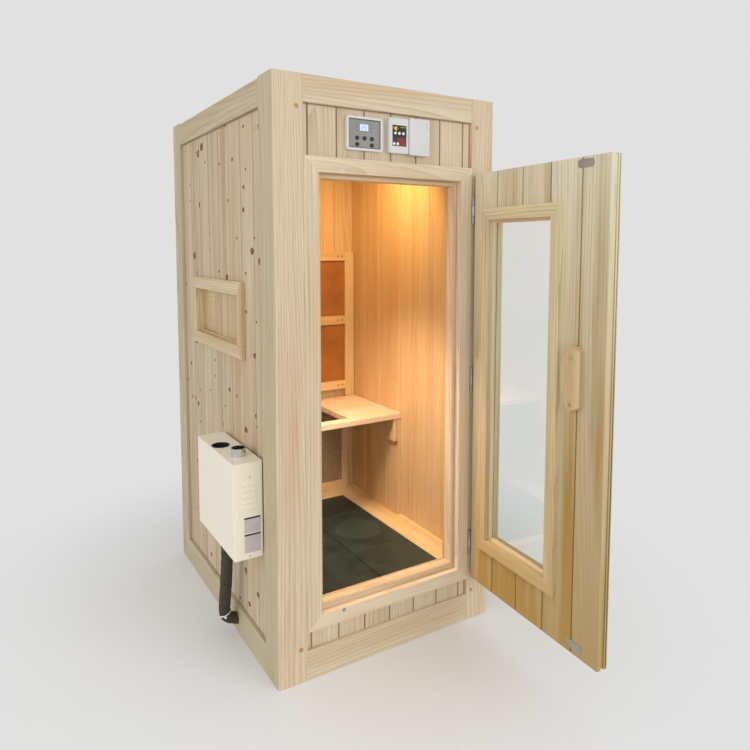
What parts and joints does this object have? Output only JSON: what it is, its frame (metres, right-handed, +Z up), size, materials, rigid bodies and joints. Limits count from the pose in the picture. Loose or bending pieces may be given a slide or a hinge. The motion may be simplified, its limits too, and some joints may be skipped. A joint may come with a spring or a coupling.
{
  "type": "portable steam sauna",
  "caption": "Free-standing one-person wooden steam cabin with a hinged glazed door, bench, heated backrest, side vent, steam boiler on the left wall and control panels above the door.",
  "frame": {"origin": "middle of the cabin's footprint, on the floor", "axes": "+X to the right of somebody who faces the door from outside, +Y from the door to the rear wall, +Z up"},
  "size_m": [0.945, 1.7252, 1.9],
  "materials": {
    "pine_frame": "planed softwood",
    "pine_boards": "planed softwood, vertical grain",
    "pine_lining": "planed softwood, warm",
    "pine_trim": "planed softwood",
    "bench_wood": "sanded softwood",
    "hidden_wood": "sawn softwood",
    "plug_wood": "end grain",
    "floor_tile": "semi-gloss",
    "heater_film": "satin",
    "heater_grille": "satin",
    "boiler_paint": "satin",
    "bright_metal": "polished",
    "steel": "brushed",
    "black_rubber": "matt",
    "seal_rubber": "matt",
    "clear_glass": "polished",
    "lamp_glass": "frosted",
    "white_plastic": "semi-gloss",
    "grey_plastic": "satin",
    "dark_window": "gloss",
    "black_plastic": "satin",
    "white_button": "satin"
  },
  "bodies": {
    "cabin": {"corner_posts": "pine_frame", "top_rails": "pine_frame", "bottom_rails": "pine_frame", "frame_plugs": "plug_wood", "boards_front": "pine_boards", "boards_left": "pine_boards", "boards_right": "pine_boards", "boards_rear": "pine_boards", "wall_studs": "hidden_wood", "roof_panel": "hidden_wood", "ceiling_lining": "pine_lining", "lining_left": "pine_lining", "lining_right": "pine_lining", "lining_rear": "pine_lining", "lining_front": "pine_lining", "floor_deck": "hidden_wood", "floor_border": "pine_lining", "floor_tiles": "floor_tile", "door_casing": "pine_trim", "door_jamb": "pine_trim", "door_seal": "seal_rubber", "bench_top": "bench_wood", "bench_supports": "bench_wood", "backrest_frame": "bench_wood", "backrest_heaters": "heater_film", "leg_heater_frame": "bench_wood", "leg_heater_grille": "heater_grille", "lamp_shade": "bench_wood", "lamp_bulb": "lamp_glass", "vent_frame": "pine_trim", "boiler_case": "boiler_paint", "boiler_cover": "boiler_paint", "boiler_tank": "steel", "boiler_collar": "bright_metal", "boiler_hose": "black_rubber", "control_a_frame": "white_plastic", "control_a_face": "grey_plastic", "control_b_case": "white_plastic", "control_b_window": "dark_window", "door_hardware_fixed": "steel"},
    "door": {"door_boards": "pine_boards", "door_core": "hidden_wood", "door_window_frame": "pine_trim", "door_glass": "clear_glass", "door_handles": "pine_trim", "door_plugs": "plug_wood", "door_hardware": "steel"},
    "vent_shutter_body": {"vent_shutter": "pine_trim"},
    "control_b_cover_body": {"control_b_cover": "white_plastic"},
    "button_a_1_body": {"button_a_1": "black_plastic"},
    "button_a_2_body": {"button_a_2": "black_plastic"},
    "button_a_3_body": {"button_a_3": "black_plastic"},
    "button_a_4_body": {"button_a_4": "black_plastic"},
    "button_a_5_body": {"button_a_5": "black_plastic"},
    "button_b_1_body": {"button_b_1": "white_button"},
    "button_b_2_body": {"button_b_2": "white_button"},
    "button_b_3_body": {"button_b_3": "white_button"},
    "button_b_4_body": {"button_b_4": "white_button"},
    "button_b_5_body": {"button_b_5": "white_button"}
  },
  "joints": [
    {"name": "door_hinge", "type": "hinge", "parent": "cabin", "child": "door", "pos_m": [0.331, -0.556, 0.906], "axis": [0, 0, 1], "range_deg": [-86, 12]},
    {"name": "vent_slide", "type": "slide", "parent": "cabin", "child": "vent_shutter_body", "axis": [0, 1, 0], "range_m": [0, 0.159]},
    {"name": "cover_slide", "type": "slide", "parent": "cabin", "child": "control_b_cover_body", "axis": [1, 0, 0], "range_m": [-0.077, 0]},
    {"name": "press_a_1", "type": "slide", "parent": "cabin", "child": "button_a_1_body", "axis": [0, 1, 0], "range_m": [0, 0.0009], "stiffness_N_per_m": 400},
    {"name": "press_a_2", "type": "slide", "parent": "cabin", "child": "button_a_2_body", "axis": [0, 1, 0], "range_m": [0, 0.0009], "stiffness_N_per_m": 400},
    {"name": "press_a_3", "type": "slide", "parent": "cabin", "child": "button_a_3_body", "axis": [0, 1, 0], "range_m": [0, 0.0009], "stiffness_N_per_m": 400},
    {"name": "press_a_4", "type": "slide", "parent": "cabin", "child": "button_a_4_body", "axis": [0, 1, 0], "range_m": [0, 0.0009], "stiffness_N_per_m": 400},
    {"name": "press_a_5", "type": "slide", "parent": "cabin", "child": "button_a_5_body", "axis": [0, 1, 0], "range_m": [0, 0.0009], "stiffness_N_per_m": 400},
    {"name": "press_b_1", "type": "slide", "parent": "cabin", "child": "button_b_1_body", "axis": [0, 1, 0], "range_m": [0, 0.0009], "stiffness_N_per_m": 400},
    {"name": "press_b_2", "type": "slide", "parent": "cabin", "child": "button_b_2_body", "axis": [0, 1, 0], "range_m": [0, 0.0009], "stiffness_N_per_m": 400},
    {"name": "press_b_3", "type": "slide", "parent": "cabin", "child": "button_b_3_body", "axis": [0, 1, 0], "range_m": [0, 0.0009], "stiffness_N_per_m": 400},
    {"name": "press_b_4", "type": "slide", "parent": "cabin", "child": "button_b_4_body", "axis": [0, 1, 0], "range_m": [0, 0.0009], "stiffness_N_per_m": 400},
    {"name": "press_b_5", "type": "slide", "parent": "cabin", "child": "button_b_5_body", "axis": [0, 1, 0], "range_m": [0, 0.0009], "stiffness_N_per_m": 400}
  ]
}
